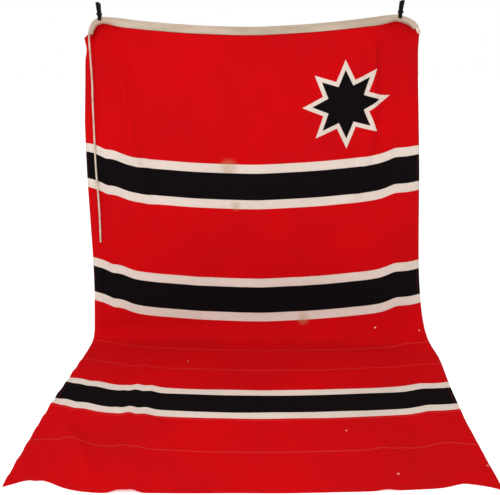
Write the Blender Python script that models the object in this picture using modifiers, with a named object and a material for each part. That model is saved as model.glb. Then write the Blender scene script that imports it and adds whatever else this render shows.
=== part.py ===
"""A large bunting flag that hangs by its canvas heading from two spring clips and lies on the floor.

Metres, +Z up, X to the right, Y away from the viewer. The floor is z = 0. The cloth comes down
near Y = +0.55, bends over, and lies flat towards -Y. Places on the cloth are given as (u, s):
u runs across it from its middle line, and s runs down it from the top of its heading.
"""

import math

import bmesh
import bpy
import numpy as np
from mathutils import Matrix, Vector

# Flag as cut
HALF_WIDTH = 0.750
LONGEST = 2.480
CLOTH = 0.002
GAP = 0.0003

# Canvas heading, folded over the rope
ROPE = 0.008
CANVAS = 0.0012
HEADING_HEIGHT = 0.036
HEADING_LEFT = -0.731
TUNNEL_RADIUS = ROPE / 2 + 0.0006 + CANVAS / 2
TUNNEL_CENTRE = TUNNEL_RADIUS + CANVAS / 2
FLAT_FROM = 0.014
CLOTH_TOP = 0.0132
CANVAS_CLEARANCE = 0.0010
HEM_SPREAD = 0.0007
HEM_ROWS = (0.036, 0.029, 0.0225, 0.020, 0.0178, 0.0158)
SLEEVE_TURN = math.radians(128.0)
SLEEVE_STEPS = 8

# Line of the heading's top edge, by hand: u, x, y, z
HEADING_LINE = (
    (-0.750, -0.7058, 0.652, 1.3398),
    (-0.731, -0.7030, 0.652, 1.3586),
    (-0.706, -0.6980, 0.652, 1.3826),
    (-0.688, -0.6900, 0.652, 1.4000),
    (-0.671, -0.6793, 0.652, 1.4147),
    (-0.654, -0.6635, 0.652, 1.4236),
    (-0.632, -0.6400, 0.652, 1.4303),
    (-0.600, -0.6080, 0.652, 1.4290),
    (-0.450, -0.4580, 0.652, 1.4122),
    (-0.200, -0.2080, 0.652, 1.3945),
    (0.000, -0.0090, 0.652, 1.3888),
    (0.200, 0.1910, 0.652, 1.3970),
    (0.400, 0.3900, 0.652, 1.4128),
    (0.550, 0.5400, 0.652, 1.4308),
    (0.613, 0.6030, 0.652, 1.4388),
    (0.639, 0.6290, 0.652, 1.4398),
    (0.657, 0.6476, 0.652, 1.4370),
    (0.676, 0.6657, 0.652, 1.4325),
    (0.701, 0.6895, 0.652, 1.4240),
    (0.723, 0.7085, 0.652, 1.4122),
    (0.750, 0.7265, 0.652, 1.3930),
)

# How the cloth hangs: its lean, and the length that bends over at the floor, by u
LEAN = math.radians(4.1)
BEND_LENGTH = ((-0.75, 0.12), (-0.30, 0.17), (0.30, 0.22), (0.75, 0.30))

# Where the two clips grip the heading, by u
CLIP_U = (-0.6415, 0.6540)

# Each clip grips the rope in the heading, so that the flat part below it tilts back there, and
# past the left clip the drooping corner rolls over: the angle in degrees by u, then the s where
# the tilt starts, is full, starts to go and has gone, and the s where its depth is made up
TILT = ((-0.750, 158.0), (-0.731, 145.0), (-0.706, 122.0), (-0.688, 104.0), (-0.671, 90.0),
        (-0.654, 86.0), (-0.640, 86.0), (-0.620, 80.0), (-0.603, 70.0), (-0.585, 55.0), (-0.555, 32.0),
        (-0.480, 0.0), (0.480, 0.0), (0.560, 28.0), (0.600, 55.0), (0.620, 72.0), (0.641, 84.0),
        (0.655, 86.0), (0.701, 88.0), (0.750, 92.0))
TILT_ROWS = (0.0113, 0.0253, 0.040, 0.064)
TILT_MADE_UP = 0.70

# The s where the cloth stops running square to the heading, and where its full width is back
SQUARE_ROWS = (0.026, 0.056)
WIDTH_BACK = 0.066

# The rolled left corner pulls its side edge in: how far by s, and the u it reaches from and to
CORNER_IN = ((0.040, 0.017), (0.105, 0.026), (0.150, 0.017), (0.250, 0.010), (0.420, 0.0))
CORNER_REACH = (-0.60, -0.75)

# Cut length to the hem, by u: the hem is a little uneven
HEM_LINE = ((-0.750, 2.434), (-0.640, 2.466), (-0.500, 2.480), (-0.250, 2.462), (0.000, 2.452),
            (0.500, 2.457), (0.650, 2.462), (0.750, 2.457))

# Width and sideways drift, by the distance past the floor line
WIDTH_SHARE = ((-1.40, 0.996), (-0.90, 0.992), (-0.46, 0.988), (-0.16, 1.003), (0.0, 1.012), (0.30, 1.004),
               (1.10, 1.003))
DRIFT = ((-1.40, -0.005), (-0.90, 0.010), (-0.46, 0.0245), (-0.16, 0.040), (0.0, 0.047), (0.30, 0.026),
         (0.55, 0.010), (0.82, 0.005), (1.10, 0.002))

# Folds of the hanging cloth: height towards the viewer, half-width, and (s, u) along the crest
HANGING_FOLDS = (
    (0.013, 0.017, ((0.05, -0.625), (0.16, -0.604), (0.38, -0.553), (0.56, -0.530), (0.78, -0.480),
                    (0.92, -0.430))),
    (-0.008, 0.016, ((0.10, -0.570), (0.38, -0.515), (0.56, -0.492), (0.80, -0.435))),
    (0.004, 0.016, ((0.05, -0.372), (0.50, -0.378))),
    (0.004, 0.014, ((0.05, -0.480), (0.34, -0.470))),
    (0.011, 0.016, ((0.05, 0.545), (0.40, 0.540), (0.60, 0.505), (0.85, 0.440))),
    (-0.007, 0.013, ((0.05, 0.578), (0.45, 0.574), (0.66, 0.540))),
    (0.007, 0.013, ((0.05, 0.625), (0.46, 0.618), (0.70, 0.600))),
    (0.005, 0.015, ((0.06, 0.485), (0.44, 0.478))),
)
# Low ridges on the floor: height, half-width, and (distance past the floor line, u)
FLOOR_FOLDS = (
    (0.013, 0.020, ((0.60, -0.665), (0.70, -0.625), (0.80, -0.570), (0.97, -0.480))),
    (0.010, 0.017, ((0.06, -0.475), (0.30, -0.462), (0.50, -0.452), (0.80, -0.425), (1.10, -0.385))),
    (0.008, 0.020, ((0.20, -0.420), (0.50, -0.395), (0.90, -0.372), (1.10, -0.360))),
    (0.006, 0.016, ((0.56, -0.345), (0.66, -0.320), (0.78, -0.330))),
    (0.006, 0.018, ((0.62, 0.440), (1.10, 0.385))),
)
FOLD_END = 0.10
FLOOR_END = 1.0
FOLDS_FROM = (HEADING_HEIGHT, HEADING_HEIGHT + 0.10)
FOLDS_FADE = (-0.30, -0.02)

# The side edges turn back from the viewer, by u
EDGE_TURN = ((-0.750, -0.022), (-0.716, -0.006), (-0.680, 0.0), (0.700, 0.0), (0.725, -0.004),
             (0.750, -0.014))

# Mesh of the cloth: (u from, u to, steps), and rows from top to bottom
COLUMNS = ((-0.750, -0.731, 2), (-0.731, -0.655, 6), (-0.655, -0.610, 3), (-0.610, -0.480, 6),
           (-0.480, -0.350, 4), (-0.350, 0.350, 5), (0.350, 0.510, 5), (0.510, 0.630, 5),
           (0.630, 0.704, 4), (0.704, 0.750, 3))
TOP_ROWS = (CLOTH_TOP, 0.0145, 0.0158, 0.0178, 0.020, 0.0225, 0.029, 0.036, 0.042, 0.049, 0.056, 0.064,
            0.085)
HANGING_ROWS = 12
BEND_ROWS = 6
FLOOR_ROWS = 14
FINE_STEP = 0.001
SIDE_STEP = 0.002
SLOPE_STEP = 0.004
TURN_STEPS = 400

# Free end of the rope, by hand: from the heading's left end down in front of the cloth
TAIL_ROUTE = (
    (-0.6982, 0.6488, 1.3575),
    (-0.6993, 0.6488, 1.3516),
    (-0.7001, 0.6487, 1.3450),
    (-0.7004, 0.6485, 1.3350),
    (-0.7000, 0.6477, 1.3180),
    (-0.6990, 0.6468, 1.3000),
    (-0.6970, 0.6450, 1.2470),
    (-0.6940, 0.6415, 1.1500),
    (-0.6935, 0.6350, 1.1000),
    (-0.6925, 0.6278, 1.0500),
    (-0.6890, 0.6135, 0.9500),
    (-0.6865, 0.6007, 0.8500),
    (-0.6825, 0.5908, 0.7500),
    (-0.6765, 0.5830, 0.6500),
    (-0.6730, 0.5757, 0.5500),
    (-0.6720, 0.5685, 0.4450),
)
TAIL_POINTS = 50
ROUTE_LEAD = 0.004
ROUTE_FINE = 24

# Loop of rope at the heading's right end
LOOP_LENGTH = 0.031
LOOP_TURN = ROPE / 2 + 0.0004
LOOP_DROOP = math.radians(12.0)
LOOP_STEPS = 8
RUN_OUT = (0.008, 0.015)
RUN_BACK = (0.015, 0.008)

# Spring clip: side view in (depth, height) about its pin, then its sizes across
CLIP_LEAN = (math.radians(-5.5), math.radians(7.4))
PIN_ABOVE_HEADING = 0.0140
LEVER_PATH = ((-0.0166, 0.0480), (-0.0152, 0.0360), (-0.0115, 0.0200), (-0.0082, 0.0080),
              (-0.0077, 0.0020), (-0.0082, -0.0060), (-0.0103, -0.0130), (-0.0103, -0.0231),
              (-0.0090, -0.0258), (-0.0079, -0.0277))
LEVER_THICKNESS = 0.003
LEVER_WIDTH = 0.015
KNUCKLE_WIDTH = 0.022
EAR = 0.002
EAR_RADIUS = 0.0048
EAR_IN = 0.0065
EAR_FROM = -0.0077
EAR_POINTS = 7
BLOCK_DEPTH = (-0.0090, -0.0064)
BLOCK_HEIGHT = 0.0046
PIN_RADIUS = 0.0015
PIN_PROUD = 0.0005
PIN_SIDES = 12
PIN_HOLE = PIN_RADIUS + GAP
BORE_LENGTH = 1.4 * KNUCKLE_WIDTH
BORE_SIDES = 16
PAD = (0.014, 0.0020, 0.0056)
PAD_AT = (-0.0074, -PIN_ABOVE_HEADING - TUNNEL_CENTRE)
WIRE = 0.0012
COIL_RADIUS = 0.0030
COIL_TURNS = 4.5
COIL_WIDTH = 0.0076
COIL_STEPS = 8
SPRING_LEG = ((-0.0032, 0.0040), (-0.0050, 0.0100), (-0.0083, 0.0180), (-0.0100, 0.0240))

RED = (0.62, 0.012, 0.014, 1.0)
CREAM = (0.62, 0.52, 0.40, 1.0)
ROPE_CREAM = (0.66, 0.56, 0.43, 1.0)
BLACK = (0.012, 0.012, 0.013, 1.0)
STEEL = (0.45, 0.45, 0.46, 1.0)
RUBBER = (0.02, 0.02, 0.02, 1.0)
WELD = 0.000001


def clear_scene():
    for old in list(bpy.data.objects):
        bpy.data.objects.remove(old, do_unlink=True)


def collection(name):
    made = bpy.data.collections.new(name)
    bpy.context.scene.collection.children.link(made)
    return made


def material(name, colour, roughness, metallic=0.0):
    made = bpy.data.materials.new(name)
    made.use_nodes = True
    shader = made.node_tree.nodes["Principled BSDF"]
    shader.inputs["Base Color"].default_value = colour
    shader.inputs["Roughness"].default_value = roughness
    shader.inputs["Metallic"].default_value = metallic
    made.diffuse_color = colour
    return made


def smooth_value(knots, at):
    """A smooth curve through (place, value) knots that never swings past them."""
    place, value = np.array(knots, dtype=float).T
    at = np.clip(np.asarray(at, dtype=float), place[0], place[-1])
    step = np.diff(place)
    slope = np.diff(value) / step
    same_way = slope[:-1] * slope[1:] > 0.0
    total = np.where(same_way, slope[:-1] + slope[1:], 1.0)
    middle = np.where(same_way, 2.0 * slope[:-1] * slope[1:] / total, 0.0)
    tangent = np.concatenate(([slope[0]], middle, [slope[-1]]))
    left = np.clip(np.searchsorted(place, at, side="right") - 1, 0, len(step) - 1)
    t = (at - place[left]) / step[left]
    rise = value[left + 1] - value[left]
    ease = t * t * (3.0 - 2.0 * t)
    start = t * (1.0 - t) ** 2 * tangent[left] * step[left]
    end = -t * t * (1.0 - t) * tangent[left + 1] * step[left]
    return value[left] + rise * ease + start + end


def ease(low, high, at):
    t = np.clip((at - low) / (high - low), 0.0, 1.0)
    return t * t * (3.0 - 2.0 * t)


def heading_point(u):
    knots = np.array(HEADING_LINE)
    return np.array([smooth_value(knots[:, (0, axis)], u) for axis in (1, 2, 3)])


def hang(u):
    """One lengthwise line of the cloth's back face: s, point and floor distance at fine steps."""
    top = heading_point(u)
    along = heading_point(u + SLOPE_STEP) - heading_point(u - SLOPE_STEP)
    along /= np.linalg.norm(along)
    bend = smooth_value(BEND_LENGTH, u)
    s = np.arange(0.0, LONGEST + FINE_STEP / 2, FINE_STEP)
    middle = s[:-1] + FINE_STEP / 2
    starts, full, goes, gone = TILT_ROWS
    most = math.radians(smooth_value(TILT, u))
    tilt = most * ease(starts, full, middle) * (1.0 - ease(goes, gone, middle))
    square_to_heading = 1.0 - ease(*SQUARE_ROWS, middle)

    def directions(bend_from, tilt=tilt):
        angle = LEAN - tilt + (math.pi / 2 - LEAN) * ease(bend_from, bend_from + bend, middle)
        down = np.stack([np.zeros_like(angle), -np.sin(angle), -np.cos(angle)], axis=1)
        slide = (down @ along) * square_to_heading
        down -= slide[:, None] * along[None, :]
        return down / np.linalg.norm(down, axis=1)[:, None]

    never = 2 * LONGEST
    fall = np.maximum.accumulate(-np.cumsum(directions(never)[:, 2])) * FINE_STEP
    turn = ease(0.0, 1.0, np.linspace(0.0, 1.0, TURN_STEPS))
    bend_fall = bend * np.mean(np.cos(LEAN + (math.pi / 2 - LEAN) * turn))
    bend_from = float(np.interp(top[2] - bend_fall, fall, middle + FINE_STEP / 2))
    point = np.vstack([top, top + np.cumsum(directions(bend_from), axis=0) * FINE_STEP])
    plain_depth = top[1] + np.cumsum(directions(bend_from, 0.0)[:, 1]) * FINE_STEP
    point[1:, 1] += (plain_depth - point[1:, 1]) * ease(gone, TILT_MADE_UP, s[1:])
    floor = s - bend_from - bend
    point[floor >= 0.0, 2] = 0.0
    wide = u * smooth_value(WIDTH_SHARE, floor) + smooth_value(DRIFT, floor)
    wide += smooth_value(CORNER_IN, s) * ease(*CORNER_REACH, u)
    point[:, 0] += (wide - point[:, 0]) * ease(HEADING_HEIGHT, WIDTH_BACK, s)
    return s, point, floor, bend_from


def fold_height(folds, u, along):
    """The height of all the folds on one lengthwise line; one that ends short of the hem fades."""
    total = np.zeros_like(along)
    for height, half_width, crest in folds:
        start, stop = crest[0][0], crest[-1][0]
        inside = ease(start, start + FOLD_END, along)
        if stop < FLOOR_END:
            inside = inside * (1.0 - ease(stop - FOLD_END, stop, along))
        aside = u - smooth_value(crest, along)
        total += height * inside * np.exp(-((aside / half_width) ** 2) / 2.0)
    return total


def stand_out(u, s, floor):
    """How far the cloth stands out from its plain hang, towards its front face."""
    hanging = 1.0 - ease(*FOLDS_FADE, floor)
    below_heading = ease(*FOLDS_FROM, s)
    turned = smooth_value(EDGE_TURN, u) * below_heading * hanging
    folds = fold_height(HANGING_FOLDS, u, s) * below_heading * hanging
    ridges = fold_height(FLOOR_FOLDS, u, floor)
    return turned + folds + np.maximum(ridges, 0.0)


def columns():
    parts = [np.linspace(low, high, steps, endpoint=False) for low, high, steps in COLUMNS]
    return np.append(np.concatenate(parts), HALF_WIDTH)


def folded_line(u):
    """One lengthwise line of the back face with its folds: s, points, front normals, the
    distance past the floor line, and the s where the bend starts."""
    s, line, floor, bend_from = hang(u)
    left = hang(max(u - SIDE_STEP, -HALF_WIDTH))[1]
    right = hang(min(u + SIDE_STEP, HALF_WIDTH))[1]
    normal = np.cross(np.gradient(line, axis=0), right - left)
    normal /= np.linalg.norm(normal, axis=1)[:, None]
    normal[floor >= 0.0] = (0.0, 0.0, 1.0)
    return s, line + normal * stand_out(u, s, floor)[:, None], normal, floor, bend_from


def read_at(wanted, s, values):
    return np.stack([np.interp(wanted, s, values[:, axis]) for axis in range(3)], axis=1)


def back_face(across):
    """The points of the cloth's back face, one lengthwise list for each u."""
    points = []
    for u in across:
        s, line, _, floor, bend_from = folded_line(u)
        bend_to = float(np.interp(0.0, floor, s))
        rows = np.concatenate([
            TOP_ROWS,
            np.linspace(TOP_ROWS[-1], bend_from, HANGING_ROWS + 1)[1:],
            np.linspace(bend_from, bend_to, BEND_ROWS + 1)[1:],
            np.linspace(bend_to, smooth_value(HEM_LINE, u), FLOOR_ROWS + 1)[1:],
        ])
        points.append(read_at(rows, s, line))
    return np.array(points)


def sheet_object(name, points, parts, finish):
    """A grid of points (across, along, xyz) as an open sheet, its front face outward."""
    across, along = points.shape[:2]
    mesh = bmesh.new()
    bmesh.ops.create_grid(mesh, x_segments=across - 1, y_segments=along - 1, size=1.0)
    ordered = sorted(mesh.verts, key=lambda v: (round(v.co.x, 4), -round(v.co.y, 4)))
    for vertex, place in zip(ordered, points.reshape(-1, 3)):
        vertex.co = place
    data = bpy.data.meshes.new(name)
    mesh.to_mesh(data)
    mesh.free()
    made = bpy.data.objects.new(name, data)
    data.materials.append(finish)
    parts.objects.link(made)
    return made


def thicken(made, thickness, offset):
    shell = made.modifiers.new("thickness", "SOLIDIFY")
    shell.thickness = thickness
    shell.offset = offset
    shell.use_even_offset = True


def make_cloth(parts, finish):
    cloth = sheet_object("flag_cloth", back_face(columns()), parts, finish)
    thicken(cloth, CLOTH, 1.0)


def heading_frame(u, wanted):
    """Points of the back face and front normals at the wanted s."""
    s, line, normal, _, _ = folded_line(u)
    return read_at(wanted, s, line), read_at(wanted, s, normal)


def canvas_profile():
    """The canvas's middle line across the heading: s, and height off the cloth's middle."""
    flat = CLOTH / 2 + CANVAS_CLEARANCE + CANVAS / 2
    spread = [HEM_SPREAD * float(ease(FLAT_FROM, HEADING_HEIGHT, s)) for s in HEM_ROWS]
    front = [(s, flat + out) for s, out in zip(HEM_ROWS, spread)] + [(FLAT_FROM, flat)]
    turn = np.linspace(SLEEVE_TURN, -SLEEVE_TURN, SLEEVE_STEPS + 1)
    over = [(TUNNEL_CENTRE - TUNNEL_RADIUS * math.cos(a), TUNNEL_RADIUS * math.sin(a)) for a in turn]
    back = [(s, -height) for s, height in reversed(front)]
    return np.array(front + over + back)


def heading_columns():
    return np.array([u for u in columns() if u > HEADING_LEFT - SIDE_STEP])


def make_heading(parts, finish):
    profile = canvas_profile()
    grid = []
    for u in heading_columns():
        point, face = heading_frame(u, profile[:, 0])
        grid.append(point + face * (CLOTH / 2 + profile[:, 1])[:, None])
    heading = sheet_object("heading", np.array(grid), parts, finish)
    thicken(heading, CANVAS, 0.0)


def tube(name, points, thickness, resolution, parts, finish):
    data = bpy.data.curves.new(name, "CURVE")
    data.dimensions = "3D"
    data.bevel_depth = thickness / 2
    data.bevel_resolution = resolution
    data.use_fill_caps = True
    run = data.splines.new("POLY")
    run.points.add(len(points) - 1)
    for place, point in zip(run.points, points):
        place.co = (*point, 1.0)
    made = bpy.data.objects.new(name, data)
    data.materials.append(finish)
    parts.objects.link(made)
    return made


def smooth_route(route, count):
    """Points on one smooth curve through the route's own points: a short lead, then even steps."""
    route = np.array(route)
    padded = np.vstack([2 * route[0] - route[1], route, 2 * route[-1] - route[-2]])
    fine = []
    for i in range(len(route) - 1):
        a, b, c, d = padded[i:i + 4]
        t = np.linspace(0.0, 1.0, ROUTE_FINE, endpoint=False)[:, None]
        fine.append(0.5 * (2 * b + (c - a) * t + (2 * a - 5 * b + 4 * c - d) * t ** 2
                           + (3 * b - a - 3 * c + d) * t ** 3))
    fine = np.vstack(fine + [route[-1:]])
    reach = np.concatenate(([0.0], np.cumsum(np.linalg.norm(np.diff(fine, axis=0), axis=1))))
    even = np.linspace(0.0, reach[-1], count - 1)
    even = np.insert(even, 1, ROUTE_LEAD)
    return np.stack([np.interp(even, reach, fine[:, axis]) for axis in range(3)], axis=1)


def rope_axis(u):
    point, face = heading_frame(u, np.array([TUNNEL_CENTRE]))
    return point[0] + face[0] * CLOTH / 2


def make_hoist_rope(parts, finish):
    """The rope in the heading, out at its right end, round a narrow loop and back to the mouth."""
    inside = [rope_axis(u) for u in heading_columns()]
    mouth = inside[-1]
    out = inside[-1] - inside[-2]
    out /= np.linalg.norm(out)
    out = np.array(Matrix.Rotation(LOOP_DROOP, 3, "Y") @ Vector(out))
    under = np.cross(out, (0.0, 1.0, 0.0))
    under /= np.linalg.norm(under)
    if under[2] > 0:
        under = -under
    far = mouth + out * (LOOP_LENGTH - LOOP_TURN - ROPE / 2)
    centre = far + under * LOOP_TURN
    turn = np.linspace(0.0, math.pi, LOOP_STEPS + 1)
    loop = [centre - under * LOOP_TURN * math.cos(a) + out * LOOP_TURN * math.sin(a) for a in turn]
    run_out = [mouth + out * distance for distance in RUN_OUT]
    back = mouth + under * 2 * LOOP_TURN
    run_back = [back + out * distance for distance in RUN_BACK]
    tube("hoist_rope", inside + run_out + loop + run_back, ROPE, 2, parts, finish)


def make_rope_tail(parts, finish):
    tube("rope_tail", smooth_route(TAIL_ROUTE, TAIL_POINTS), ROPE, 2, parts, finish)


def as_mesh(made):
    """The same object as a closed mesh, its loose caps welded."""
    depsgraph = bpy.context.evaluated_depsgraph_get()
    data = bpy.data.meshes.new_from_object(made.evaluated_get(depsgraph))
    weld = bmesh.new()
    weld.from_mesh(data)
    bmesh.ops.remove_doubles(weld, verts=weld.verts, dist=WELD)
    weld.to_mesh(data)
    weld.free()
    solid = bpy.data.objects.new(made.name, data)
    for owner in made.users_collection:
        owner.objects.link(solid)
    name = made.name
    bpy.data.objects.remove(made, do_unlink=True)
    solid.name = name
    return solid


def plate(name, outline, low, high, owner):
    """A side-view outline in (depth, height), extruded across from low to high."""
    data = bpy.data.curves.new(name, "CURVE")
    data.dimensions = "2D"
    data.fill_mode = "BOTH"
    data.extrude = (high - low) / 2
    run = data.splines.new("POLY")
    run.points.add(len(outline) - 1)
    for place, (depth, height) in zip(run.points, outline):
        place.co = (depth, height, 0.0, 1.0)
    run.use_cyclic_u = True
    made = bpy.data.objects.new(name, data)
    owner.objects.link(made)
    bpy.context.view_layer.update()
    solid = as_mesh(made)
    across = Matrix(((0, 0, 1, (low + high) / 2), (1, 0, 0, 0), (0, 1, 0, 0), (0, 0, 0, 1)))
    solid.data.transform(across)
    return solid


def lever_outline():
    path = np.array(LEVER_PATH)
    along = np.gradient(path, axis=0)
    along /= np.linalg.norm(along, axis=1)[:, None]
    aside = np.stack([-along[:, 1], along[:, 0]], axis=1) * LEVER_THICKNESS / 2
    return [tuple(point) for point in np.vstack([path + aside, (path - aside)[::-1]])]


def ear_outline():
    turn = np.radians(np.linspace(-90.0, 90.0, EAR_POINTS))
    arc = [(EAR_RADIUS * math.cos(a), EAR_RADIUS * math.sin(a)) for a in turn]
    return [(EAR_FROM, -EAR_RADIUS)] + arc + [(EAR_FROM, EAR_RADIUS)]


def keep_in(made, name, owner):
    """A new primitive, named, and moved to the collection that owns it."""
    made.name = name
    for other in list(made.users_collection):
        other.objects.unlink(made)
    owner.objects.link(made)
    return made


def cross_rod(name, radius, length, sides, owner):
    """A round rod along X, through the pin's place."""
    bpy.ops.mesh.primitive_cylinder_add(vertices=sides, radius=radius, depth=length,
                                        rotation=(0.0, math.pi / 2, 0.0))
    return keep_in(bpy.context.object, name, owner)


def boolean(target, cutter, operation):
    change = target.modifiers.new(operation.lower(), "BOOLEAN")
    change.operation = operation
    change.object = cutter
    change.solver = "EXACT"


def make_lever(name, side, placed, parts, cutters, finish):
    """One lever: its blade, its cross block and two ears bored for the pin. side -1 is the front."""
    blade = plate(name, lever_outline(), -LEVER_WIDTH / 2, LEVER_WIDTH / 2, parts)
    ear_from = KNUCKLE_WIDTH / 2 - EAR if side < 0 else EAR_IN
    reach = ear_from + EAR
    front, back = BLOCK_DEPTH
    low, high = -BLOCK_HEIGHT, BLOCK_HEIGHT
    block_outline = [(front, low), (back, low), (back, high), (front, high)]
    extra = [plate(name + "_block", block_outline, -reach, reach, cutters)]
    for end in (-1, 1):
        inner, outer = sorted((end * ear_from, end * reach))
        extra.append(plate(f"{name}_ear_{end}", ear_outline(), inner, outer, cutters))
    for piece in extra:
        boolean(blade, piece, "UNION")
    bore = cross_rod(name + "_bore", PIN_HOLE, BORE_LENGTH, BORE_SIDES, cutters)
    boolean(blade, bore, "DIFFERENCE")
    extra.append(bore)
    turned = Matrix.Rotation(0.0 if side < 0 else math.pi, 4, "Z")
    for piece in extra + [blade]:
        piece.matrix_world = placed @ turned @ piece.matrix_world
    for piece in extra:
        piece.hide_render = True
        piece.display_type = "WIRE"
    blade.data.materials.append(finish)


def make_pin(name, placed, parts, finish):
    pin = cross_rod(name, PIN_RADIUS, KNUCKLE_WIDTH + 2 * PIN_PROUD, PIN_SIDES, parts)
    pin.matrix_world = placed @ pin.matrix_world
    pin.data.materials.append(finish)


def make_spring(name, placed, parts, finish):
    """A torsion spring: a coil round the pin and a leg against the inside of each lever."""
    turns = int(COIL_TURNS * COIL_STEPS)
    coil = []
    for step in range(turns + 1):
        angle = math.pi + 2 * math.pi * step / COIL_STEPS
        across = COIL_WIDTH * (step / turns - 0.5)
        coil.append((across, COIL_RADIUS * math.cos(angle), COIL_RADIUS * math.sin(angle)))
    front = [(-COIL_WIDTH / 2, depth, height) for depth, height in reversed(SPRING_LEG)]
    back = [(COIL_WIDTH / 2, -depth, height) for depth, height in SPRING_LEG]
    spring = tube(name, front + coil + back, WIRE, 1, parts, finish)
    spring.matrix_world = placed


def make_pad(name, side, placed, parts, finish):
    bpy.ops.mesh.primitive_cube_add(size=1.0)
    pad = keep_in(bpy.context.object, name, parts)
    pad.data.transform(Matrix.Diagonal((*PAD, 1.0)))
    pad.matrix_world = placed @ Matrix.Translation((0.0, PAD_AT[0] * -side, PAD_AT[1]))
    pad.data.materials.append(finish)


def clip_place(u, lean):
    """Where a clip's pin lies: above the heading, in the plane of the hanging cloth."""
    point, face = heading_frame(u, np.array([0.0, TUNNEL_CENTRE]))
    top = point[0] + face[0] * CLOTH / 2
    down = point[1] - point[0]
    forward = Vector((0.0, face[0][1], face[0][2])).normalized()
    up = Vector((0.0, -down[1], -down[2])).normalized()
    frame = Matrix.Identity(4)
    frame.col[0].xyz = up.cross(forward)
    frame.col[1].xyz = -forward
    frame.col[2].xyz = up
    if frame.col[0].x < 0:
        frame.col[0].xyz = -frame.col[0].xyz
    turn = Matrix.Rotation(lean, 4, "Y")
    tip = Matrix.Translation(top) @ frame @ turn
    return tip @ Matrix.Translation((0.0, 0.0, PIN_ABOVE_HEADING))


def make_clip(side_name, u, lean, parts, cutters, finishes):
    placed = clip_place(u, lean)
    name = "clip_" + side_name
    make_lever(name + "_front_lever", -1, placed, parts, cutters, finishes["black"])
    make_lever(name + "_back_lever", 1, placed, parts, cutters, finishes["black"])
    make_pin(name + "_pin", placed, parts, finishes["steel"])
    make_spring(name + "_spring", placed, parts, finishes["steel"])
    make_pad(name + "_front_pad", -1, placed, parts, finishes["rubber"])
    make_pad(name + "_back_pad", 1, placed, parts, finishes["rubber"])


def build():
    clear_scene()
    parts = collection("hanging_flag")
    cutters = collection("cutters")
    finishes = {
        "bunting": material("bunting", RED, 0.85),
        "canvas": material("canvas", CREAM, 0.9),
        "rope": material("rope", ROPE_CREAM, 0.9),
        "black": material("black_clip", BLACK, 0.4),
        "steel": material("spring_steel", STEEL, 0.35, 1.0),
        "rubber": material("rubber", RUBBER, 0.7),
    }
    make_cloth(parts, finishes["bunting"])
    make_heading(parts, finishes["canvas"])
    make_hoist_rope(parts, finishes["rope"])
    make_rope_tail(parts, finishes["rope"])
    for side_name, u, lean in zip(("left", "right"), CLIP_U, CLIP_LEAN):
        make_clip(side_name, u, lean, parts, cutters, finishes)


build()
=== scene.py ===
# %% [markdown]
# A large bunting flag hangs by its canvas heading from two spring clips, and its lower half lies
# on the floor. The hard shapes come from the frame. This lesson dresses them: the printed cloth,
# the sewn heading, the laid rope and the moulded clips. Everything is in metres, with the floor
# at z = 0, X to the right and Y away from the viewer.

# %% Load the frame
import math

import bmesh
import bpy
import numpy as np
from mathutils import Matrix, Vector


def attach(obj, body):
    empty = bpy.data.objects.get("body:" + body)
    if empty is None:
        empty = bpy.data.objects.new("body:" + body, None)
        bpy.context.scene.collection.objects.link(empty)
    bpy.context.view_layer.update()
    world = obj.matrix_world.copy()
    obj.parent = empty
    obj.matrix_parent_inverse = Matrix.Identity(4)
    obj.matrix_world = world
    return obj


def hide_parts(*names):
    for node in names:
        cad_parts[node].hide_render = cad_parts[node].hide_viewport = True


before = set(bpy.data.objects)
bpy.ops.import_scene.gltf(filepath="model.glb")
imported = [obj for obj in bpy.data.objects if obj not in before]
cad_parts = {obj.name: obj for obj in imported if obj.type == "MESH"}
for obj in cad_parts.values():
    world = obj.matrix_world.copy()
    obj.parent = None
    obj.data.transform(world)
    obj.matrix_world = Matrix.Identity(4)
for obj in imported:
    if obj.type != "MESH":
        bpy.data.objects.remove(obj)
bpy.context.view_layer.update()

# %% [markdown]
# The camera stands at the photograph's height and distance and looks a little down. A small
# downward shift keeps the hanging edges upright, as a photographer does with a rising front,
# and it is kept small because every other view has the same shift.

# %% Camera
CAMERA_PLACE = (-0.002, -2.280, 1.294)
CAMERA_DOWN = math.radians(11.43)
CAMERA_LENS = 47.5
CAMERA_SHIFT = -0.13

camera_data = bpy.data.cameras.new("camera")
camera_data.sensor_width = 36.0
camera_data.lens = CAMERA_LENS
camera_data.shift_y = CAMERA_SHIFT
camera = bpy.data.objects.new("camera", camera_data)
camera.location = CAMERA_PLACE
camera.rotation_euler = (math.pi / 2 - CAMERA_DOWN, 0.0, 0.0)
bpy.context.scene.collection.objects.link(camera)
bpy.context.scene.camera = camera
print("camera at", CAMERA_PLACE)

# %% [markdown]
# A white studio: an even pale floor, a pale surround that gets a little dimmer overhead, one
# soft light from the front and above, and a weak one straight over the cloth on the floor. The
# plain Standard view keeps the printed red as strong as it is in daylight.

# %% Studio
FLOOR_SIZE = 60.0
FLOOR_BELOW = 0.0005
FLOOR_COLOUR = (0.86, 0.86, 0.86, 1.0)
FLOOR_ROUGHNESS = 0.9
FLOOR_GLOW = 0.45
PURE_WHITE = (1.0, 1.0, 1.0, 1.0)
SURROUND_LOW = 1.0
SURROUND_HIGH = 0.85
SURROUND_TURNS = (math.sin(math.radians(25.0)), math.sin(math.radians(45.0)))
KEY_PLACE = (-0.9, -2.3, 2.5)
KEY_AIM = (0.05, 0.20, 0.55)
KEY_SIZE = (1.4, 1.0)
KEY_POWER = 36.0
TOP_PLACE = (0.0, -0.75, 2.3)
TOP_AIM = (0.0, -0.30, 0.0)
TOP_SIZE = (1.2, 0.8)
TOP_POWER = 5.0
TOP_SPREAD = math.radians(100.0)


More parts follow.
